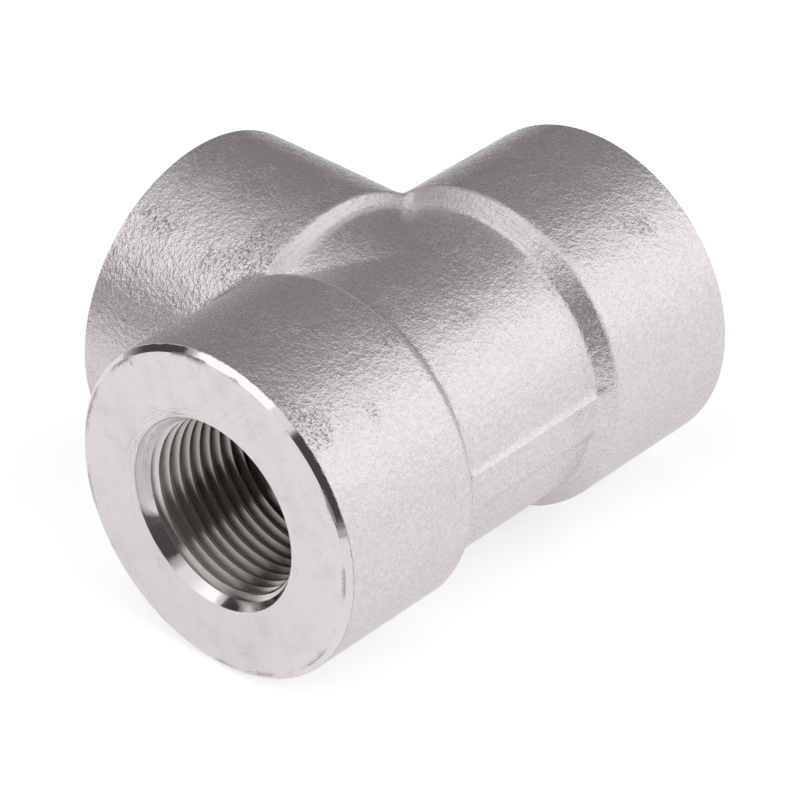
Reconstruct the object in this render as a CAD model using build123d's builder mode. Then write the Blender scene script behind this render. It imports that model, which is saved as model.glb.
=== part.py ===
"""Forged pipe tee for NPS 3/4 taper threads, pressure class 3000.

One solid forging in stainless steel. The run lies along X, the branch points along +Y,
and the centre lines cross at the origin. The die halves met in the plane Z = 0.
All sizes are in millimetres.
"""

import os
from math import radians, sin, tan

from build123d import *

# Forged body
centre_to_end = 38.0        # crossing of the centre lines to each machined end
band_diameter = 46.6        # thick band round each end of the run
band_step = 2.4             # how far the band stands above the body
shoulder_distance = 14.9    # crossing to the band's inner corner, before rounding
shoulder_angle = 48.0       # slope of the shoulder, measured from the pipe's axis
branch_relief = 0.15        # how much smaller the branch is in radius than the run
crotch_fillet = 2.0         # where the branch grows out of the run

# Strip left along the back of the body where the flash was trimmed off
land_width = 5.0
land_height = 0.5

# Machined ends
end_bevel = 1.05            # outer corner, at 45 degrees
tap_drill_diameter = 23.4   # straight hole the taper thread is tapped in
mouth_diameter = 27.1       # countersink where it meets the end face
mouth_angle = 30.0          # slope of the countersink, measured from the axis

# Sizes that follow from the ones above
run_radius = band_diameter / 2
branch_radius = run_radius - branch_relief
run_neck_radius = run_radius - band_step
branch_neck_radius = branch_radius - band_step
neck_distance = shoulder_distance - band_step / tan(radians(shoulder_angle))
bore_radius = tap_drill_diameter / 2
mouth_radius = mouth_diameter / 2
mouth_depth = (mouth_radius - bore_radius) / tan(radians(mouth_angle))
# The slope's length is shared by the round above it and the hollow below it.
slope_length = band_step / sin(radians(shoulder_angle))
shoulder_round = 0.41 * slope_length / tan(radians(shoulder_angle / 2))

with BuildPart() as tee_body:
    # Run: half profile from end to end, turned about X
    with BuildSketch(Plane.XY) as run_profile:
        with BuildLine():
            Polyline(
                (-centre_to_end, 0),
                (-centre_to_end, run_radius - end_bevel),
                (end_bevel - centre_to_end, run_radius),
                (-shoulder_distance, run_radius),
                (-neck_distance, run_neck_radius),
                (neck_distance, run_neck_radius),
                (shoulder_distance, run_radius),
                (centre_to_end - end_bevel, run_radius),
                (centre_to_end, run_radius - end_bevel),
                (centre_to_end, 0),
                close=True,
            )
        make_face()
        corners = run_profile.vertices().filter_by_position(
            Axis.X, -shoulder_distance - 0.01, shoulder_distance + 0.01
        )
        fillet(corners, shoulder_round)
    revolve(axis=Axis.X)

    # Branch: the same shoulder and end, turned about Y
    with BuildSketch(Plane.XY) as branch_profile:
        with BuildLine():
            Polyline(
                (0, 0),
                (branch_neck_radius, 0),
                (branch_neck_radius, neck_distance),
                (branch_radius, shoulder_distance),
                (branch_radius, centre_to_end - end_bevel),
                (branch_radius - end_bevel, centre_to_end),
                (0, centre_to_end),
                close=True,
            )
        make_face()
        corners = branch_profile.vertices().filter_by_position(
            Axis.Y, neck_distance - 0.01, shoulder_distance + 0.01
        )
        fillet(corners, shoulder_round)
    revolve(axis=Axis.Y)

    # Crotch: one chain of edges on each side, rolled over as the forging flowed
    chain = [
        edge
        for edge in tee_body.edges()
        if edge.center().Y > 0.5
        and abs(abs(edge.center().X) - edge.center().Y) < 1.5
        and abs(edge.center().X) < run_radius
    ]
    fillet(chain, crotch_fillet)

    # Trimmed flash strip on the side away from the branch
    with BuildSketch(Plane.XZ.offset(bore_radius)):
        Rectangle(2 * shoulder_distance, land_width)
    extrude(amount=run_neck_radius + land_height - bore_radius)

    # Tap-drill holes, right through the run and in from the branch
    with BuildSketch(Plane.YZ):
        Circle(bore_radius)
    extrude(amount=centre_to_end, both=True, mode=Mode.SUBTRACT)
    with BuildSketch(Plane.XZ):
        Circle(bore_radius)
    extrude(amount=-centre_to_end, mode=Mode.SUBTRACT)

    # Countersunk mouths
    with BuildSketch(Plane.XY):
        with BuildLine():
            Polyline(
                (centre_to_end, 0),
                (centre_to_end, mouth_radius),
                (centre_to_end - mouth_depth, bore_radius),
                (centre_to_end - mouth_depth, 0),
                close=True,
            )
        make_face()
        mirror(about=Plane.YZ)
    revolve(axis=Axis.X, mode=Mode.SUBTRACT)
    with BuildSketch(Plane.XY):
        with BuildLine():
            Polyline(
                (0, centre_to_end),
                (mouth_radius, centre_to_end),
                (bore_radius, centre_to_end - mouth_depth),
                (0, centre_to_end - mouth_depth),
                close=True,
            )
        make_face()
    revolve(axis=Axis.Y, mode=Mode.SUBTRACT)

tee_body.part.label = "tee_body"

os.makedirs("parts", exist_ok=True)
export_step(tee_body.part, "parts/tee_body.step")
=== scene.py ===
"""Forged pipe tee: the looks of the finished fitting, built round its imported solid.

The forging is made as one smooth skin from its profiles, then its three ports are turned,
drilled and tapped as they are in the shop. All lengths are in metres.
"""

import math

import bpy
import numpy as np
from bpy.props import FloatProperty, FloatVectorProperty, IntProperty, PointerProperty
from mathutils import Matrix, Vector


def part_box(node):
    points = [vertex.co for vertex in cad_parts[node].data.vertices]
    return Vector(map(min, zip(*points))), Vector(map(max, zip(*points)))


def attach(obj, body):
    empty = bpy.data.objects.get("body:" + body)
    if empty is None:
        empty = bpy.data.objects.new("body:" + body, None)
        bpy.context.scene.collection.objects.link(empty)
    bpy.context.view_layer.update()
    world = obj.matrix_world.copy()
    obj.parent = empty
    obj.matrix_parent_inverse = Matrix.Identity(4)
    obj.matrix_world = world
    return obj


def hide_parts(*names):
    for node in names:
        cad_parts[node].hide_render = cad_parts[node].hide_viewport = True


bl_info = {
    "name": "Forged Pipe Tee",
    "version": (1, 0, 0),
    "blender": (4, 5, 0),
    "location": "3D View > Sidebar > Pipe Tee",
    "description": "Forges, machines and stages a pipe tee with taper-threaded ports",
    "category": "Add Mesh",
}

MM = 0.001
NODE = "tee_body"

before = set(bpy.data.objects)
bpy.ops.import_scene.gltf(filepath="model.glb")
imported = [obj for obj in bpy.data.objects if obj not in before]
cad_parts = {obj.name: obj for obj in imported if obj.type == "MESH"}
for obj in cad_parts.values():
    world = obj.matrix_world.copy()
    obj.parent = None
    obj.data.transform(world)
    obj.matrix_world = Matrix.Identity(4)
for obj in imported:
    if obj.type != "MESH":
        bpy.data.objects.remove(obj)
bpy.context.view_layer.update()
LOW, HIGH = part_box(NODE)

# Each port's name, and how far its outward axis is turned from +X about Z
PORTS = {"near_port": math.pi, "far_port": 0.0, "branch_port": math.pi / 2}

# Fields of soft dents in the skin: the length of their waves, and the seed that draws them
DENTS = ((5 * MM, 3), (1.7 * MM, 4))

# Faces that turn more than this from each other meet in a hard edge
HARD_EDGE = math.radians(32)


def length(name, description, default):
    return FloatProperty(name=name, description=description, default=default, unit="LENGTH", precision=5)


def angle(name, description, degrees):
    return FloatProperty(name=name, description=description, default=math.radians(degrees), unit="ROTATION")


def share(name, description, default):
    return FloatProperty(name=name, description=description, default=default, min=0, max=1, subtype="FACTOR")


def colour(name, description, default):
    return FloatVectorProperty(
        name=name, description=description, default=default, min=0, max=1, size=3, subtype="COLOR"
    )


class ForgingSettings(bpy.types.PropertyGroup):
    centre_to_end: length("Centre to End", "Crossing of the centre lines to each end", HIGH.x)
    band_radius: length("Band Radius", "Radius of the thick band round each port", HIGH.z)
    band_step: length("Band Step", "Height of the band above the body", 2.4 * MM)
    shoulder_distance: length("Shoulder Distance", "Crossing to the inner corner of the band", 14.8 * MM)
    shoulder_angle: angle("Shoulder Angle", "Slope of the shoulder from the pipe's axis", 48)
    shoulder_round: length("Shoulder Round", "Radius above and below the shoulder's slope", 1.0 * MM)
    branch_step: length("Branch Band Step", "Height of the branch's band above its neck", 1.5 * MM)
    branch_distance: length("Branch Shoulder Distance", "Crossing to the branch band's corner", 13.5 * MM)
    branch_angle: angle("Branch Shoulder Angle", "Slope of the branch's shoulder from its axis", 55)
    branch_round: length("Branch Shoulder Round", "Radius above and below the branch's shoulder", 0.6 * MM)
    branch_draft: angle("Branch Draft", "Slope of the branch's neck towards the crossing", 3.8)
    branch_relief: length("Branch Relief", "How much smaller the branch is in radius", 0.15 * MM)
    crotch_round: length("Crotch Round", "Radius where the branch grows out of the run", 1.0 * MM)
    land_width: length("Flash Land Width", "Width of the trimmed flash strip", 5.0 * MM)
    land_height: length("Flash Land Height", "Height of the strip above the body", 0.02 * MM)
    dent_depth: length("Dent Depth", "Depth of the soft dents all over the skin", 0.035 * MM)
    mesh_step: length("Mesh Step", "Spacing of the skin's mesh", 0.55 * MM)


class PortSettings(bpy.types.PropertyGroup):
    end_bevel: length("End Bevel", "Width of the 45 degree bevel round each end", 0.87 * MM)
    drill_radius: length("Drill Radius", "Radius of the tap-drill hole", 11.7 * MM)
    mouth_radius: length("Mouth Radius", "Radius of the countersink at the end face", 13.55 * MM)
    mouth_angle: angle("Mouth Angle", "Slope of the countersink from the axis", 30)
    pitch: length("Thread Pitch", "Distance from one thread to the next", 25.4 / 14 * MM)
    pitch_radius: length("Pitch Radius", "Pitch radius of the taper thread at the end face", 12.559 * MM)
    crest_drop: length("Crest Drop", "From the pitch line in to the thread's flat crest", 0.37 * MM)
    root_rise: length("Root Rise", "From the pitch line out to the thread's root", 0.71 * MM)
    flank_angle: angle("Flank Angle", "Slope of the thread's sides from square", 30)
    taper: FloatProperty(name="Taper", description="Growth of radius along the thread", default=1 / 32)
    tapped_turns: IntProperty(name="Tapped Turns", description="Turns of thread on the tap", default=16)
    outer_turns: FloatProperty(name="Turns Outside", description="Turns past the end face", default=1.614)
    lead_angle: angle("Tap Lead Angle", "Slope of the tap's chamfered lead", 14)
    segments: IntProperty(name="Segments", description="Segments round each port", default=160)


class FinishSettings(bpy.types.PropertyGroup):
    skin_colour: colour("Skin Colour", "Blasted forged skin", (0.80, 0.765, 0.775))
    skin_metal: share("Skin Metal", "Bare metal's share of the skin; the rest is its dull film", 0.8)
    skin_roughness: share("Skin Roughness", "Roughness of the blasted skin", 0.27)
    turned_colour: colour("Turned Colour", "Freshly turned steel", (0.76, 0.725, 0.73))
    turned_roughness: share("Turned Roughness", "Roughness of the turned faces", 0.1)
    thread_colour: colour("Thread Colour", "Tapped steel near the mouth", (0.82, 0.78, 0.77))
    # Colour of cutting oil, also used as painted shade deep in the ports
    oil_colour: colour("Oil And Shade Colour", "Steel under a film of cutting oil", (0.50, 0.44, 0.42))
    thread_roughness: share("Thread Roughness", "Roughness of the tapped thread", 0.26)
    crest_roughness: share("Crest Roughness", "Roughness of the thread's drilled flat crests", 0.3)
    thread_grain: share("Thread Grain", "How far the thread's scratches all run one way", 0.97)
    warm_colour: colour("Warm Colour", "Faint clouds that pickling left in the skin", (0.66, 0.61, 0.58))
    # Paler colour of the shoulders' slopes: a painted highlight
    scraped_colour: colour("Shoulder Highlight Colour", "Shoulders that the dies scraped bright", (0.92, 0.89, 0.89))
    dirt_colour: colour("Dirt Colour", "Scale and grime in pits and along the rims", (0.16, 0.15, 0.12))
    grain: length("Grain", "Size of the skin's orange-peel grain", 0.5 * MM)
    chatter: length("Chatter", "Spacing of the countersink's chatter marks", 0.2 * MM)


class StageSettings(bpy.types.PropertyGroup):
    azimuth: angle("Azimuth", "Camera's turn about Z from straight in front", -49.35)
    elevation: angle("Elevation", "Camera's height above the horizon", 33.6)
    roll: angle("Roll", "Camera's roll about its own axis", 1.2144)
    distance: length("Distance", "Camera to the crossing of the centre lines", 550.36 * MM)
    right: length("Right", "Camera's step to its right", -1.4768 * MM)
    up: length("Up", "Camera's step upwards", -0.927 * MM)
    lens: FloatProperty(name="Lens", description="Focal length in millimetres", default=188.679)
    floor_colour: colour("Floor Colour", "Pale studio floor", (0.9, 0.9, 0.9))
    floor_left: length("Floor Left", "Where the floor ends in front of the near port", -150 * MM)
    floor_right: length("Floor Right", "Where the floor ends behind the far port", 190 * MM)
    floor_back: length("Floor Back", "Where the floor ends behind the branch", 450 * MM)
    floor_reach: length("Floor Reach", "How far the floor runs out in front of the part", 600 * MM)
    floor_glow: share("Floor Glow", "What lifts the floor to white where the camera sees it", 0.5)
    mirrored_glow: share("Mirrored Glow", "What lifts the floor where metal mirrors it", 0.34)
    tent_colour: colour("Tent Colour", "White cloth of the light tent", (0.98, 0.98, 0.98))
    ground_colour: colour("Ground Colour", "Unlit room past the tent and the floor", (0.085, 0.076, 0.075))


def stepped_radius(along, band, neck, distance, slope, corner):
    """Radius of a band with a rounded shoulder down to the neck, and its change along the axis."""
    tangent = corner * math.tan(slope / 2)
    foot = distance - (band - neck) / math.tan(slope)
    reach = corner * math.sin(slope)
    hollow = foot - tangent
    crest = distance + tangent
    radius = neck + (along - foot) * math.tan(slope)
    rate = np.full_like(along, math.tan(slope))
    below = along < hollow + reach
    x = np.clip(along - hollow, 0, reach)
    arc = np.sqrt(corner**2 - x**2)
    radius = np.where(below, neck + corner - arc, radius)
    rate = np.where(below, x / arc, rate)
    above = along > crest - reach
    x = np.clip(crest - along, 0, reach)
    arc = np.sqrt(corner**2 - x**2)
    radius = np.where(above, band - corner + arc, radius)
    rate = np.where(above, x / arc, rate)
    return radius, rate


def forged_distance(p, s):
    """Signed distance, near enough, from points to the forging's skin."""
    x, y, z = p[..., 0], p[..., 1], p[..., 2]
    off_axis = 1e-9
    run_neck = s.band_radius - s.band_step
    corner = (s.shoulder_distance, s.shoulder_angle, s.shoulder_round)
    run_radius, run_rate = stepped_radius(np.abs(x), s.band_radius, run_neck, *corner)
    run_from_axis = np.sqrt(y**2 + z**2) + off_axis
    run_steep = np.sqrt(1 + run_rate**2)
    run = (run_from_axis - run_radius) / run_steep
    branch_band = s.band_radius - s.branch_relief
    draft = math.tan(s.branch_draft)
    corner = (s.branch_distance, s.branch_angle, s.branch_round)
    branch_radius, branch_rate = stepped_radius(y, branch_band, branch_band - s.branch_step, *corner)
    branch_radius = branch_radius - np.maximum(s.branch_distance - y, 0) * draft
    branch_rate = branch_rate + (y < s.branch_distance) * draft
    branch_from_axis = np.sqrt(x**2 + z**2) + off_axis
    branch_steep = np.sqrt(1 + branch_rate**2)
    branch = np.maximum((branch_from_axis - branch_radius) / branch_steep, -y)
    # Ball rolled along the corner between the two, whose surfaces meet at any angle
    turn = z * z / (run_from_axis * branch_from_axis)
    turn = turn - run_rate * np.abs(x) / branch_from_axis - branch_rate * y / run_from_axis
    turn = turn / (run_steep * branch_steep)
    spread = np.maximum(1 - turn**2, 0.02)
    a = s.crotch_round - run
    b = s.crotch_round - branch
    in_corner = (a > turn * b) & (b > turn * a) & (y > 0)
    rolled = s.crotch_round - np.sqrt(np.maximum(a**2 + b**2 - 2 * turn * a * b, 0) / spread)
    nearest = np.minimum(run, branch)
    skin = np.where(in_corner, np.minimum(rolled, nearest), nearest)
    # Trimmed flash strip on the side away from the branch, run out softly into the body
    crown = -y - (run_neck + s.land_height)
    strip = np.maximum(np.maximum(crown, np.abs(z) - s.land_width / 2), np.abs(x) - s.shoulder_distance)
    soft = 1.5 * MM
    blend = np.clip(0.5 + 0.5 * (skin - strip) / soft, 0, 1)
    return skin + (strip - skin) * blend - soft * blend * (1 - blend)


def hammered(p, depth, size, seed):
    """Soft random dents, 0 to depth deep, in a field of waves about size long."""
    random = np.random.default_rng(seed)
    total = np.zeros(len(p))
    waves = 28
    swing = 0.35
    for _ in range(waves):
        way = random.normal(size=3)
        way *= 2 * math.pi / (size * random.uniform(0.7, 1.6)) / np.linalg.norm(way)
        total += np.sin(p @ way + random.uniform(0, 2 * math.pi))
    return depth * np.clip(0.5 + total / waves**0.5 * swing, 0, 1)


def surface_net(distance, low, high, step):
    """Closed mesh of quads round every grid edge that crosses the surface, as points and faces."""
    counts = [int(math.ceil((high[i] - low[i]) / step)) + 1 for i in range(3)]
    axes = [low[i] + step * np.arange(counts[i]) for i in range(3)]
    grid = np.stack(np.meshgrid(*axes, indexing="ij"), -1)
    inside = distance(grid) < 0
    filled = np.zeros([n - 1 for n in counts], np.int8)
    for i in (0, 1):
        for j in (0, 1):
            for k in (0, 1):
                filled += inside[i : counts[0] - 1 + i, j : counts[1] - 1 + j, k : counts[2] - 1 + k]
    crossed = (filled > 0) & (filled < 8)
    number = np.full(crossed.shape, -1)
    number[crossed] = np.arange(crossed.sum())
    points = grid[:-1, :-1, :-1][crossed] + step / 2
    faces = []
    for axis in range(3):
        second, third = (axis + 1) % 3, (axis + 2) % 3
        here = np.moveaxis(inside, (axis, second, third), (0, 1, 2))
        cells = np.moveaxis(number, (axis, second, third), (0, 1, 2))
        low_side, high_side = here[:-1, 1:-1, 1:-1], here[1:, 1:-1, 1:-1]
        for leaving in (True, False):
            i, j, k = np.nonzero((low_side != high_side) & (low_side == leaving))
            quad = [cells[i, j + 1, k + 1], cells[i, j, k + 1], cells[i, j, k], cells[i, j + 1, k]]
            faces.append(np.stack(quad if leaving else quad[::-1], -1))
    return points, np.concatenate(faces)


def settle(points, faces, distance, rounds):
    """Evens the mesh out and draws its points on to the surface; gives the points and their normals."""
    edges = np.concatenate([faces[:, [i, (i + 1) % 4]] for i in range(4)])
    neighbours = np.bincount(edges.ravel(), minlength=len(points))[:, None]
    tiny = 0.01 * MM
    least_slope = 0.2
    for turn in range(rounds):
        # The last two rounds only draw the points in, and leave their spacing alone
        evening = 0.5 * (turn < rounds - 2)
        total = np.zeros_like(points)
        np.add.at(total, edges[:, 0], points[edges[:, 1]])
        np.add.at(total, edges[:, 1], points[edges[:, 0]])
        points = points + evening * (total / neighbours - points)
        value = distance(points)
        slope = np.stack([distance(points + tiny * np.eye(3)[i]) - value for i in range(3)], -1) / tiny
        points = points - slope * (value / np.maximum((slope**2).sum(-1), least_slope))[:, None]
    return points, slope / np.linalg.norm(slope, axis=-1, keepdims=True)


def new_object(name, points, faces):
    mesh = bpy.data.meshes.new(name)
    mesh.from_pydata([tuple(p) for p in points], [], [tuple(f) for f in faces])
    mesh.update()
    piece = bpy.data.objects.new(name, mesh)
    bpy.context.scene.collection.objects.link(piece)
    return piece


def lathe(name, profile, segments):
    """Closed solid of revolution about X from (along, radius) points that start and end on the axis."""
    turn = np.linspace(0, 2 * math.pi, segments, endpoint=False)
    points, faces = [(profile[0][0], 0, 0)], []
    rings = profile[1:-1]
    for along, radius in rings:
        points += [(along, radius * math.cos(t), radius * math.sin(t)) for t in turn]
    points.append((profile[-1][0], 0, 0))
    last = len(points) - 1
    for i in range(segments):
        j = (i + 1) % segments
        faces.append((0, 1 + j, 1 + i))
        for ring in range(len(rings) - 1):
            a, b = 1 + ring * segments, 1 + (ring + 1) * segments
            faces.append((a + i, a + j, b + j, b + i))
        end = 1 + (len(rings) - 1) * segments
        faces.append((end + i, end + j, last))
    return new_object(name, points, faces)


def turning_tool(forging, port):
    """What the lathe takes off one port: the drilled hole, the countersink, the face and the bevel."""
    face = forging.centre_to_end
    mouth_depth = (port.mouth_radius - port.drill_radius) / math.tan(port.mouth_angle)
    bevelled = forging.band_radius - port.end_bevel
    clear = 3 * MM
    past_crossing = -1 * MM
    profile = [
        (past_crossing, 0),
        (past_crossing, port.drill_radius),
        (face - mouth_depth, port.drill_radius),
        (face, port.mouth_radius),
        (face, bevelled),
        (face - clear, bevelled + clear),
        (face + clear, bevelled + clear),
        (face + clear, 0),
    ]
    return lathe("turning_tool", profile, port.segments)


class Field:
    """A number in a node tree. Arithmetic on it adds the Math nodes that work it out."""

    def __init__(self, tree, socket):
        self.tree, self.socket = tree, socket

    def calc(self, operation, *others):
        node = self.tree.nodes.new("ShaderNodeMath")
        node.operation = operation
        for slot, value in zip(node.inputs, (self, *others)):
            if isinstance(value, Field):
                self.tree.links.new(value.socket, slot)
            else:
                slot.default_value = value
        return Field(self.tree, node.outputs[0])

    def __add__(self, other):
        return self.calc("ADD", other)

    def __sub__(self, other):
        return self.calc("SUBTRACT", other)

    def __mul__(self, other):
        return self.calc("MULTIPLY", other)

    def __truediv__(self, other):
        return self.calc("DIVIDE", other)

    def under(self, other):
        return self.calc("MINIMUM", other)

    def over(self, other):
        return self.calc("MAXIMUM", other)

    def ramp(self, low, high):
        """0 below low, 1 above high, and a smooth step between."""
        node = self.tree.nodes.new("ShaderNodeMapRange")
        node.interpolation_type = "SMOOTHSTEP"
        node.inputs["From Min"].default_value = low
        node.inputs["From Max"].default_value = high
        self.tree.links.new(self.socket, node.inputs["Value"])
        return Field(self.tree, node.outputs[0])

    def window(self, low, high, soft):
        """1 between low and high, and 0 outside, with smooth edges."""
        return self.ramp(low - soft, low + soft) - self.ramp(high - soft, high + soft)

    def inverse(self):
        """1 where this is 0, and 0 where it is 1."""
        return self * -1 + 1


def split(tree, socket):
    """The X, Y and Z of a vector's socket."""
    parts = tree.nodes.new("ShaderNodeSeparateXYZ")
    tree.links.new(socket, parts.inputs[0])
    return [Field(tree, parts.outputs[name]) for name in "XYZ"]


def tap_tree():
    """Geometry Nodes for a taper tap about X: rows of points follow the thread and meet at both ends."""
    tree = bpy.data.node_groups.new("tap", "GeometryNodeTree")
    names = ["End Face", "Pitch", "Pitch Radius", "Crest Drop", "Root Rise", "Crest Flat", "Root Flat"]
    names += ["Taper", "Turns", "Turns Outside", "Lead Slope", "Lead Radius", "Segments"]
    for name in names:
        kind = "NodeSocketInt" if name in ("Turns", "Segments") else "NodeSocketFloat"
        tree.interface.new_socket(name=name, in_out="INPUT", socket_type=kind)
    tree.interface.new_socket(name="Finish", in_out="INPUT", socket_type="NodeSocketMaterial")
    tree.interface.new_socket(name="Geometry", in_out="OUTPUT", socket_type="NodeSocketGeometry")
    group_in = tree.nodes.new("NodeGroupInput")
    group_out = tree.nodes.new("NodeGroupOutput")
    given = {name: Field(tree, group_in.outputs[name]) for name in names}
    turns = given["Turns"]
    # Four rows to a turn, and one more at each end for the caps
    grid = tree.nodes.new("GeometryNodeMeshGrid")
    across = given["Segments"] + 1
    down = turns * 4 + 3
    grid.inputs["Size X"].default_value = 1
    tree.links.new((turns * 4 + 2).socket, grid.inputs["Size Y"])
    tree.links.new(across.socket, grid.inputs["Vertices X"])
    tree.links.new(down.socket, grid.inputs["Vertices Y"])
    x, y, _ = split(tree, tree.nodes.new("GeometryNodeInputPosition").outputs[0])
    around = x + 0.5
    row = (y + (turns * 2 + 1)).calc("ROUND")
    step = (row - 1).over(0).under(turns * 4)
    # A crest row, its far edge, a root row and its far edge
    turn_start = (step / 4).calc("FLOOR")
    in_turn = step - turn_start * 4
    is_root = in_turn.calc("GREATER_THAN", 1.5)
    second_edge = in_turn - is_root * 2
    spare = (given["Crest Flat"] - given["Root Flat"]) * is_root
    turned = turn_start + is_root * 0.5 + spare / 2 + (given["Crest Flat"] - spare) * second_edge
    from_end = turns - turned
    travelled = (turned - 1).over(0) + turned.under(1) * around
    travelled = travelled - from_end.inverse().over(0) * around
    inner_end = given["End Face"] - (turns - 1 - given["Turns Outside"]) * given["Pitch"]
    along = inner_end + travelled * given["Pitch"]
    cut_radius = given["Pitch Radius"] + (along - given["End Face"]) * given["Taper"]
    cut_radius = cut_radius - given["Crest Drop"] + (given["Crest Drop"] + given["Root Rise"]) * is_root
    lead = given["Lead Radius"] + (along - inner_end) * given["Lead Slope"]
    is_wall = row.calc("GREATER_THAN", 0.5) * row.calc("LESS_THAN", turns * 4 + 1.5)
    radius = cut_radius.under(lead) * is_wall
    swing = around * (2 * math.pi)
    place = tree.nodes.new("ShaderNodeCombineXYZ")
    tree.links.new(along.socket, place.inputs["X"])
    tree.links.new((radius * swing.calc("COSINE")).socket, place.inputs["Y"])
    tree.links.new((radius * swing.calc("SINE")).socket, place.inputs["Z"])
    move = tree.nodes.new("GeometryNodeSetPosition")
    weld = tree.nodes.new("GeometryNodeMergeByDistance")
    weld.inputs["Distance"].default_value = 0.002 * MM
    tree.links.new(grid.outputs["Mesh"], move.inputs["Geometry"])
    tree.links.new(place.outputs[0], move.inputs["Position"])
    real = tree.nodes.new("GeometryNodeRealizeInstances")
    finish = tree.nodes.new("GeometryNodeSetMaterial")
    tree.links.new(move.outputs[0], weld.inputs[0])
    tree.links.new(weld.outputs[0], real.inputs[0])
    tree.links.new(real.outputs[0], finish.inputs["Geometry"])
    tree.links.new(group_in.outputs["Finish"], finish.inputs["Material"])
    tree.links.new(finish.outputs[0], group_out.inputs[0])
    return tree


def set_inputs(modifier, values):
    """Gives a Geometry Nodes modifier its inputs, which are kept under their sockets' identifiers."""
    for item in modifier.node_group.interface.items_tree:
        if item.item_type == "SOCKET" and item.in_out == "INPUT" and item.name in values:
            modifier[item.identifier] = values[item.name]


def bake(piece):
    """Turns the piece's modifiers into its plain mesh."""
    graph = bpy.context.evaluated_depsgraph_get()
    mesh = bpy.data.meshes.new_from_object(piece.evaluated_get(graph), depsgraph=graph)
    piece.modifiers.clear()
    piece.data = mesh


def smooth_by_angle(mesh, limit):
    """Smooth shading, with hard edges where faces turn sharply or the finish changes."""
    mesh.shade_smooth()
    sharp = np.zeros(len(mesh.edges), bool)
    total = np.zeros(len(mesh.polygons), int)
    mesh.polygons.foreach_get("loop_total", total)
    face_of = np.repeat(np.arange(len(mesh.polygons)), total)
    edge_of = np.zeros(len(mesh.loops), int)
    mesh.loops.foreach_get("edge_index", edge_of)
    normals = np.zeros(len(mesh.polygons) * 3)
    mesh.polygons.foreach_get("normal", normals)
    normals = normals.reshape(-1, 3)
    finish = np.zeros(len(mesh.polygons), int)
    mesh.polygons.foreach_get("material_index", finish)
    order = np.argsort(edge_of, kind="stable")
    first, second = face_of[order][::2], face_of[order][1::2]
    turned = (normals[first] * normals[second]).sum(-1) < math.cos(limit)
    sharp[edge_of[order][::2]] = turned | (finish[first] != finish[second])
    attribute = mesh.attributes.new("sharp_edge", "BOOLEAN", "EDGE")
    attribute.data.foreach_set("value", sharp)


def tap_tool(forging, port, finish):
    """Tap whose sides cross the pitch line half a pitch apart, as a standard thread's do."""
    slope = math.tan(port.flank_angle)
    lead_start = port.drill_radius - 0.3 * MM
    tool = new_object("tap", [], [])
    modifier = tool.modifiers.new("Tap", "NODES")
    modifier.node_group = tap_tree()
    set_inputs(
        modifier,
        {
            "End Face": forging.centre_to_end,
            "Pitch": port.pitch,
            "Pitch Radius": port.pitch_radius,
            "Crest Drop": port.crest_drop,
            "Root Rise": port.root_rise,
            "Crest Flat": 0.5 - 2 * port.crest_drop * slope / port.pitch,
            "Root Flat": 0.5 - 2 * port.root_rise * slope / port.pitch,
            "Taper": port.taper,
            "Turns": port.tapped_turns,
            "Turns Outside": port.outer_turns,
            "Lead Slope": math.tan(port.lead_angle),
            "Lead Radius": lead_start,
            "Segments": port.segments,
            "Finish": finish,
        },
    )
    bake(tool)
    return tool


class TEE_OT_forge(bpy.types.Operator):
    """Forge the tee's blank: one skin over the run and the branch, with stock left on each end"""

    bl_idname = "pipe_tee.forge"
    bl_label = "Forge Blank"

    def execute(self, context):
        settings = context.scene.tee_forging
        stock = 0.8 * MM
        end = settings.centre_to_end + stock

        def distance(p):
            ends = np.maximum(np.abs(p[..., 0]), p[..., 1]) - end
            return np.maximum(forged_distance(p, settings), ends)

        margin = 2 * settings.mesh_step
        low = (-end - margin, -settings.band_radius - margin, -settings.band_radius - margin)
        high = (end + margin, end + margin, settings.band_radius + margin)
        points, faces = surface_net(distance, low, high, settings.mesh_step)
        points, outward = settle(points, faces, distance, rounds=8)
        dents = sum(hammered(points, settings.dent_depth, size, seed) for size, seed in DENTS)
        piece = new_object("forged_tee", points - outward * dents[:, None], faces)
        piece.data.materials.append(forged_skin(settings, context.scene.tee_finish))
        return {"FINISHED"}


class TEE_OT_machine(bpy.types.Operator):
    """Turn, drill and tap the three ports"""

    bl_idname = "pipe_tee.machine"
    bl_label = "Machine Ports"

    def execute(self, context):
        forging = context.scene.tee_forging
        port = context.scene.tee_port
        finish = context.scene.tee_finish
        piece = bpy.data.objects["forged_tee"]
        lathe_cut = turning_tool(forging, port)
        tap = tap_tool(forging, port, tapped_steel(forging, port, finish))
        lathe_cut.data.materials.append(turned_steel(forging, port, finish))
        tools = (lathe_cut, tap)
        for swing in PORTS.values():
            for tool in tools:
                placed = tool.copy()
                placed.data = tool.data.copy()
                placed.data.transform(Matrix.Rotation(swing, 4, "Z"))
                context.scene.collection.objects.link(placed)
                cut = piece.modifiers.new("cut", "BOOLEAN")
                cut.operation = "DIFFERENCE"
                cut.solver = "MANIFOLD"
                cut.material_mode = "TRANSFER"
                cut.object = placed
                bake(piece)
                bpy.data.objects.remove(placed)
        for tool in tools:
            bpy.data.objects.remove(tool)
        smooth_by_angle(piece.data, HARD_EDGE)
        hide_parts(NODE)
        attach(piece, "root")
        return {"FINISHED"}


def material_tree(name):
    """A new material, its node tree and its Principled shader."""
    material = bpy.data.materials.new(name)
    material.use_nodes = True
    tree = material.node_tree
    shader = tree.nodes["Principled BSDF"]
    return material, tree, shader


def texture(tree, kind, coordinates, **inputs):
    node = tree.nodes.new(kind)
    tree.links.new(coordinates, node.inputs["Vector"])
    for name, value in inputs.items():
        node.inputs[name].default_value = value
    return node


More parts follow.
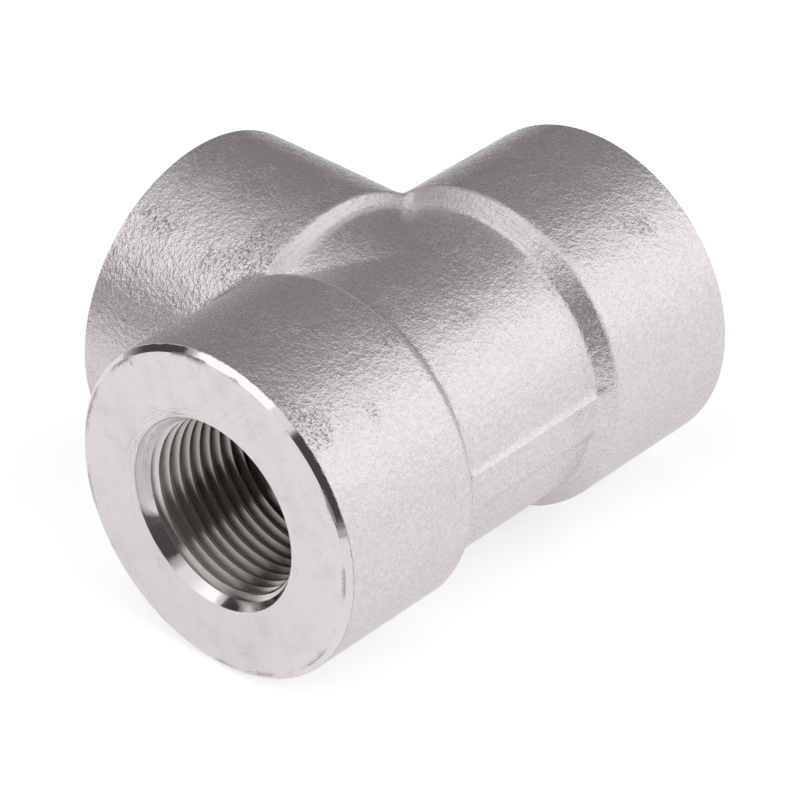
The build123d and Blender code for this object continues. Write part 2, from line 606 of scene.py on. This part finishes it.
def port_place(tree):
    """Place, then distance along its port's axis, radius, angle and whether it is the branch's."""
    place = tree.nodes.new("ShaderNodeTexCoord").outputs["Object"]
    x, y, z = split(tree, place)
    along_run = x.calc("ABSOLUTE")
    in_branch = y.calc("GREATER_THAN", along_run)
    along = along_run + (y - along_run) * in_branch
    across = y + (x - y) * in_branch
    radius = (across * across + z * z).calc("SQRT")
    return place, along, radius, z.calc("ARCTAN2", across), in_branch


def vector(tree, *parts):
    node = tree.nodes.new("ShaderNodeCombineXYZ")
    for slot, part in zip(node.inputs, parts):
        tree.links.new(part.socket, slot)
    return node.outputs[0]


def noise(tree, coordinates, size, detail=2.0, roughness=0.5):
    node = texture(
        tree, "ShaderNodeTexNoise", coordinates, Scale=1 / size, Detail=detail, Roughness=roughness
    )
    return Field(tree, node.outputs["Fac"])


def tint(tree, share_of_second, first, second):
    """Colour between two, each a plain colour or a socket."""
    mix = tree.nodes.new("ShaderNodeMix")
    mix.data_type = "RGBA"
    tree.links.new(share_of_second.socket, mix.inputs["Factor"])
    for name, value in (("A", first), ("B", second)):
        slot = next(s for s in mix.inputs if s.name == name and s.type == "RGBA")
        if isinstance(value, bpy.types.NodeSocket):
            tree.links.new(value, slot)
        else:
            slot.default_value = (*value, 1)
    return next(s for s in mix.outputs if s.type == "RGBA")


def shaded(base, factor):
    """A colour made darker by a factor."""
    return [factor * part for part in base]


def relief(tree, shader, height):
    """Bumps the shader's surface by a height given in millimetres."""
    bump = tree.nodes.new("ShaderNodeBump")
    bump.inputs["Strength"].default_value = 1
    bump.inputs["Distance"].default_value = MM
    tree.links.new(height.socket, bump.inputs["Height"])
    tree.links.new(bump.outputs[0], shader.inputs["Normal"])


def forged_skin(forging, finish):
    """Blasted, pickled forging: bright pebbled steel, streaked along its shoulders and painted paler there
    as a painted highlight, with clusters of pits.
    """
    material, tree, shader = material_tree("forged_skin")
    place, along, radius, turn, in_branch = port_place(tree)
    _, width, height = split(tree, place)
    grit = noise(tree, place, 0.45 * finish.grain, 2, 0.7)
    peel = noise(tree, place, 1.3 * finish.grain, 2, 0.6)
    swell = noise(tree, place, 3.2 * finish.grain, 2, 0.5)
    cloud = noise(tree, place, 16 * finish.grain, 2, 0.5)
    # Streaks round the pipe on the shoulders' slopes, most towards the branch; their paler colour there is a
    # painted highlight
    corner = in_branch * (forging.branch_distance - forging.shoulder_distance) + forging.shoulder_distance
    slope_middle = 0.9 * MM
    slope_reach = 1.4 * MM
    slope_fade = 0.6 * MM
    off_middle = (along - corner + slope_middle).calc("ABSOLUTE")
    slope = ((off_middle * -1 + slope_reach) / slope_fade).over(0).under(1)
    streak = noise(tree, vector(tree, along, radius, turn * (3 * MM)), 0.4 * MM, 3, 0.6)
    scraped = slope * (streak + 0.2).under(1) * width.ramp(-24 * MM, -1 * MM)
    # Pits gather in clusters, most of all on top and in the bands' strips beside the shoulders
    strip_middle = 17.2 * MM
    strip_reach = 2.6 * MM
    beside = ((along - strip_middle).calc("ABSOLUTE") / strip_reach).inverse().over(0)
    on_top = height.calc("ABSOLUTE").ramp(12 * MM, 20 * MM)
    cluster = (cloud + beside * 0.08 + on_top * 0.2 - scraped * 0.3).ramp(0.7, 0.84)
    pit = noise(tree, place, 0.8 * finish.grain, 3, 0.75).ramp(0.53, 0.66) * cluster
    relief(tree, shader, grit * 0.055 + peel * 0.13 + swell * 0.05 + streak * scraped * 0.14 - pit * 0.1)
    # The grain's low spots are a little darker than its high spots
    high_spot = (grit + peel - 0.55).ramp(0.15, 0.75)
    worn = tint(tree, high_spot, shaded(finish.skin_colour, 0.84), finish.skin_colour)
    warm = tint(tree, cloud.ramp(0.5, 0.8) * 0.3, worn, finish.warm_colour)
    # Painted highlight: the shoulders' slopes are tinted paler
    bright = tint(tree, scraped * 0.5, warm, finish.scraped_colour)
    pitted = tint(tree, pit * 0.44, bright, finish.dirt_colour)
    tree.links.new(pitted, shader.inputs["Base Color"])
    metal = scraped * -0.4 + finish.skin_metal
    tree.links.new(metal.socket, shader.inputs["Metallic"])
    rough = grit * 0.16 + pit * 0.2 + scraped * 0.12 + (finish.skin_roughness - 0.08)
    tree.links.new(rough.socket, shader.inputs["Roughness"])
    return material


def turned_steel(forging, port, finish):
    """Turned ends: smooth face with nicks and smudges, chattered countersink with a painted dark reflection,
    ragged bevel, and a bore painted darker, partly for oil and partly as painted shade.
    """
    material, tree, shader = material_tree("turned_steel")
    place, along, radius, turn, _ = port_place(tree)
    mouth = port.mouth_radius
    bevelled = forging.band_radius - port.end_bevel
    in_mouth = radius.ramp(mouth - 0.1 * MM, mouth).inverse()
    in_bore = radius.ramp(port.drill_radius, port.drill_radius + 0.2 * MM).inverse()
    on_bevel = radius.ramp(bevelled - 0.05 * MM, bevelled + 0.05 * MM)
    on_face = in_mouth.inverse() - on_bevel
    patchy = noise(tree, place, 3 * MM, 2).ramp(0.3, 0.6)
    # Tool marks: fine rings on the face, chatter across the countersink
    rings = noise(tree, vector(tree, radius, along, turn * (0.5 * MM)), 0.12 * MM, 2, 0.6)
    teeth = (turn * (mouth / finish.chatter * 2 * math.pi)).calc("SINE") * 0.5
    # One side of the mouth is worn dull, with thin arcs on it and on the face beside it
    worn_side = 0.5
    side = (turn - worn_side).calc("ABSOLUTE").ramp(0.65, 1.1).inverse()
    dull = side * in_mouth
    by_mouth = side * radius.window(mouth - 1.5 * MM, mouth + 1.8 * MM, 1.2 * MM)
    arc = noise(tree, vector(tree, radius, along, turn * (1.2 * MM)), 0.5 * MM, 2, 0.6)
    arc = arc.window(0.52, 0.56, 0.02) * by_mouth * patchy
    lip_line = radius.window(mouth - 0.1 * MM, mouth + 0.02 * MM, 0.05 * MM) * side
    # Nicks and hair scratches on the face, and smudges that hands and rags left
    bent = noise(tree, place, 1.2 * MM, 3, 0.6)
    nick_spacing = 4.2 * MM
    spots = texture(tree, "ShaderNodeTexVoronoi", place, Scale=1 / nick_spacing, Randomness=1.0)
    near = Field(tree, spots.outputs["Distance"]) + bent * 0.25
    nick = near.ramp(0.14, 0.2).inverse() * on_face
    scratch = noise(tree, place, 2.6 * MM, 4, 0.6).window(0.545, 0.55, 0.006)
    scratch = scratch * patchy.ramp(0.5, 0.9) * on_face
    smudge = noise(tree, place, 5 * MM, 3, 0.6).ramp(0.45, 0.8) * on_face
    grit = noise(tree, place, 0.3 * MM, 3, 0.7)
    # Rims: torn skin along the bevel's outer edge, a scuff along its inner one, grime beside it
    edge = (radius - bevelled) * -1
    rim = edge.ramp(0, 1.0 * MM).inverse() * on_face
    stain = noise(tree, place, 7 * MM, 2).ramp(0.42, 0.66)
    grime = (grit + rim * 0.2 + stain * 0.08 - 0.1).ramp(0.52, 0.7) * rim * stain
    ragged = noise(tree, place, 1.1 * MM, 3, 0.7) * (0.36 * MM) + radius - 0.18 * MM
    torn = ragged.ramp(forging.band_radius - 0.12 * MM, forging.band_radius - 0.03 * MM)
    scuff = (edge.calc("ABSOLUTE") + grit * (0.3 * MM)).ramp(0.16 * MM, 0.32 * MM).inverse()
    scuff = scuff * stain.ramp(0.2, 0.7)
    height = rings * 0.004 + teeth * 0.004 * patchy * in_mouth - nick * 0.05 - grime * 0.03
    height = height + grit * torn * 0.25
    # The worn side is rounded over, so it faces outwards more than the countersink does
    depth = along * -1 + forging.centre_to_end
    rounded = dull * depth * (0.45 / MM)
    relief(tree, shader, height + rounded - arc * 0.014 - scuff * grit * 0.08 - scratch * 0.01)
    lip = tint(tree, on_face, shaded(finish.turned_colour, 0.94), finish.turned_colour)
    smooth = tint(tree, smudge * 0.5, lip, shaded(finish.turned_colour, 0.85))
    marks = grime * 0.6
    for mark, strength in ((nick, 0.35), (arc, 0.3), (lip_line, 0.45), (scuff, 0.4), (scratch, 0.3)):
        marks = marks.over(mark * strength)
    grimy = tint(tree, marks, smooth, finish.dirt_colour)
    # The bore is painted darker, partly for oil and partly as painted shade; a patch of the countersink just
    # past its lowest point as the fitting lies is a painted dark reflection
    pooled = in_mouth * turn.window(-2.02, -1.76, 0.06) * 0.5
    oily = tint(tree, in_bore.over(pooled), grimy, shaded(finish.oil_colour, 0.5))
    ends = tint(tree, torn * 0.6, oily, shaded(finish.skin_colour, 0.62))
    tree.links.new(ends, shader.inputs["Base Color"])
    metal = dull * -0.3 + 1
    tree.links.new(metal.socket, shader.inputs["Metallic"])
    rough = smudge * 0.1 + grime * 0.2 + in_bore * 0.3 + torn * 0.25 + on_face * 0.12 + dull * 0.3
    rough = rough + scuff * 0.2 + (finish.turned_roughness - 0.02)
    tree.links.new(rough.socket, shader.inputs["Roughness"])
    return material


def tapped_steel(forging, port, finish):
    """Tapped thread: torn a little along its cut, clean at the mouth and painted darker and browner deeper
    in, partly for oil and partly as painted shade.
    """
    material, tree, shader = material_tree("tapped_steel")
    place, along, radius, turn, in_branch = port_place(tree)
    shader.inputs["Metallic"].default_value = 1
    # The tap's scratches run round the hole, so light spreads along the port's axis
    shader.inputs["Anisotropic"].default_value = finish.thread_grain
    axis = vector(tree, in_branch.inverse(), in_branch, in_branch * 0)
    tree.links.new(axis, shader.inputs["Tangent"])
    tear = noise(tree, vector(tree, along, radius, turn * MM), 0.14 * MM, 3, 0.6)
    depth = along * -1 + forging.centre_to_end
    # Darker and browner with depth: partly oil, partly painted shade
    oil = depth.ramp(0, 12 * MM) * 0.8
    relief(tree, shader, tear * 0.006)
    clean = tint(tree, tear.ramp(0.3, 0.7), shaded(finish.thread_colour, 0.85), finish.thread_colour)
    tree.links.new(tint(tree, oil, clean, finish.oil_colour), shader.inputs["Base Color"])
    # The drill left the flat crests, the tap the sides
    crest = depth * -port.taper + (port.pitch_radius - port.crest_drop)
    on_side = (radius - crest).ramp(0.02 * MM, 0.08 * MM)
    rough = on_side * (finish.thread_roughness - finish.crest_roughness) + finish.crest_roughness
    tree.links.new(rough.socket, shader.inputs["Roughness"])
    return material


def soft_box(name, direction, distance, width, height, radiance):
    """A rectangular studio lamp that faces the part."""
    lamp = bpy.data.lights.new(name, "AREA")
    lamp.shape = "RECTANGLE"
    lamp.size = width
    lamp.size_y = height
    lamp.energy = radiance * math.pi * width * height
    box = bpy.data.objects.new(name, lamp)
    toward = Vector(direction).normalized()
    facing = toward.to_track_quat("Z", "Y").to_matrix().to_4x4()
    box.matrix_world = Matrix.Translation(toward * distance) @ facing
    bpy.context.scene.collection.objects.link(box)


def floor_material(stage):
    """Matt pale floor that shows white, with the part's shadow, to the camera and to mirrors."""
    material, tree, shader = material_tree("studio_floor")
    shader.inputs["Base Color"].default_value = (*stage.floor_colour, 1)
    shader.inputs["Roughness"].default_value = 0.9
    shader.inputs["Specular IOR Level"].default_value = 0
    shader.inputs["Emission Color"].default_value = (1, 1, 1, 1)
    rays = tree.nodes.new("ShaderNodeLightPath")
    seen = Field(tree, rays.outputs["Is Camera Ray"]) * stage.floor_glow
    for name in ("Is Glossy Ray", "Is Transmission Ray"):
        seen = seen.over(Field(tree, rays.outputs[name]) * stage.mirrored_glow)
    tree.links.new(seen.socket, shader.inputs["Emission Strength"])
    return material


def studio_room(stage):
    """White light tent round the part, open behind it and towards the camera, as metal mirrors it."""
    world = bpy.data.worlds.new("studio_room")
    world.use_nodes = True
    tree = world.node_tree
    x, y, z = split(tree, tree.nodes.new("ShaderNodeTexCoord").outputs["Generated"])
    degrees = 180 / math.pi
    height = z.calc("ARCSINE") * degrees
    round_x = y.calc("ARCTAN2", x) * degrees
    round_left = y.calc("ARCTAN2", x * -1) * degrees
    # Gaps between the tent's cloths, in degrees round from +X or from -X and of height
    back_gap = round_x.window(-17, 72, 12) * height.window(-90, 70, 12) * 0.9
    far_slant = (round_x + height * 1.15).ramp(153, 165).inverse()
    far_gap = round_x.ramp(74, 86) * far_slant * height.ramp(-16, 7)
    low_gap = round_left.window(28, 58, 6) * height.window(-6, 22, 6) * 0.85
    left_gap = round_left.window(6, 28, 4) * height.window(-9, 22, 6) * 0.6
    camera_slant = (round_left + height * 0.9).ramp(10, 16).inverse()
    camera_gap = camera_slant * round_left.ramp(-74, -66) * (height.ramp(-14, -1) - height.ramp(56, 64))
    white = back_gap.inverse()
    for gap in (far_gap, low_gap, left_gap, camera_gap):
        white = white * gap.inverse()
    tent = tint(tree, white, stage.ground_colour, stage.tent_colour)
    below = height.ramp(-12, -8).inverse()
    around = tint(tree, below, tent, stage.ground_colour)
    camera_ray = Field(tree, tree.nodes.new("ShaderNodeLightPath").outputs["Is Camera Ray"])
    tree.links.new(tint(tree, camera_ray, around, (1, 1, 1)), tree.nodes["Background"].inputs["Color"])
    return world


class TEE_OT_stage(bpy.types.Operator):
    """Set the part on a pale floor between two soft boxes, with the camera at the photograph's angle"""

    bl_idname = "pipe_tee.stage"
    bl_label = "Set Stage"

    def execute(self, context):
        stage = context.scene.tee_stage
        left, right = stage.floor_left, stage.floor_right
        back, reach = stage.floor_back, stage.floor_reach
        corners = [(left, -reach), (reach, -reach), (right, right), (left, back)]
        floor = new_object("studio_floor", [(x, y, LOW.z) for x, y in corners], [(0, 1, 2, 3)])
        floor.data.materials.append(floor_material(stage))
        soft_box("overhead_box", (-0.57, 0.36, 0.72), distance=1.0, width=0.95, height=0.7, radiance=0.42)
        soft_box("side_box", (0.67, -0.58, 0.47), distance=1.0, width=0.9, height=0.85, radiance=0.34)
        context.scene.world = studio_room(stage)
        context.scene.view_settings.view_transform = "Standard"
        az, el, roll = stage.azimuth, stage.elevation, stage.roll
        backwards = Vector((math.sin(az) * math.cos(el), -math.cos(az) * math.cos(el), math.sin(el)))
        level = Vector((math.cos(az), math.sin(az), 0))
        upright = backwards.cross(level)
        rightwards = level * math.cos(roll) + upright * math.sin(roll)
        upwards = upright * math.cos(roll) - level * math.sin(roll)
        lens = bpy.data.cameras.new("photo_camera")
        lens.sensor_width = 36
        lens.lens = stage.lens
        camera = bpy.data.objects.new("photo_camera", lens)
        turn = Matrix((rightwards, upwards, backwards)).transposed().to_4x4()
        stand = backwards * stage.distance + rightwards * stage.right + upwards * stage.up
        camera.matrix_world = Matrix.Translation(stand) @ turn
        context.scene.collection.objects.link(camera)
        context.scene.camera = camera
        return {"FINISHED"}


class TEE_PT_panel(bpy.types.Panel):
    """Steps that build and stage the tee, with their sizes"""

    bl_idname = "TEE_PT_panel"
    bl_label = "Pipe Tee"
    bl_space_type = "VIEW_3D"
    bl_region_type = "UI"
    bl_category = "Pipe Tee"

    def draw(self, context):
        steps = {
            "tee_forging": ["pipe_tee.forge"],
            "tee_port": ["pipe_tee.machine"],
            "tee_finish": [],
            "tee_stage": ["pipe_tee.stage"],
        }
        for name, operators in steps.items():
            box = self.layout.box()
            settings = getattr(context.scene, name)
            for setting in settings.__annotations__:
                box.prop(settings, setting)
            for operator in operators:
                box.operator(operator)


CLASSES = (
    ForgingSettings,
    PortSettings,
    FinishSettings,
    StageSettings,
    TEE_OT_forge,
    TEE_OT_machine,
    TEE_OT_stage,
    TEE_PT_panel,
)


def register():
    for cls in CLASSES:
        bpy.utils.register_class(cls)
    bpy.types.Scene.tee_forging = PointerProperty(type=ForgingSettings)
    bpy.types.Scene.tee_port = PointerProperty(type=PortSettings)
    bpy.types.Scene.tee_finish = PointerProperty(type=FinishSettings)
    bpy.types.Scene.tee_stage = PointerProperty(type=StageSettings)


def unregister():
    for name in ("tee_stage", "tee_finish", "tee_port", "tee_forging"):
        delattr(bpy.types.Scene, name)
    for cls in reversed(CLASSES):
        bpy.utils.unregister_class(cls)


def main():
    register()
    bpy.ops.pipe_tee.forge()
    bpy.ops.pipe_tee.machine()
    bpy.ops.pipe_tee.stage()


if __name__ == "__main__":
    main()
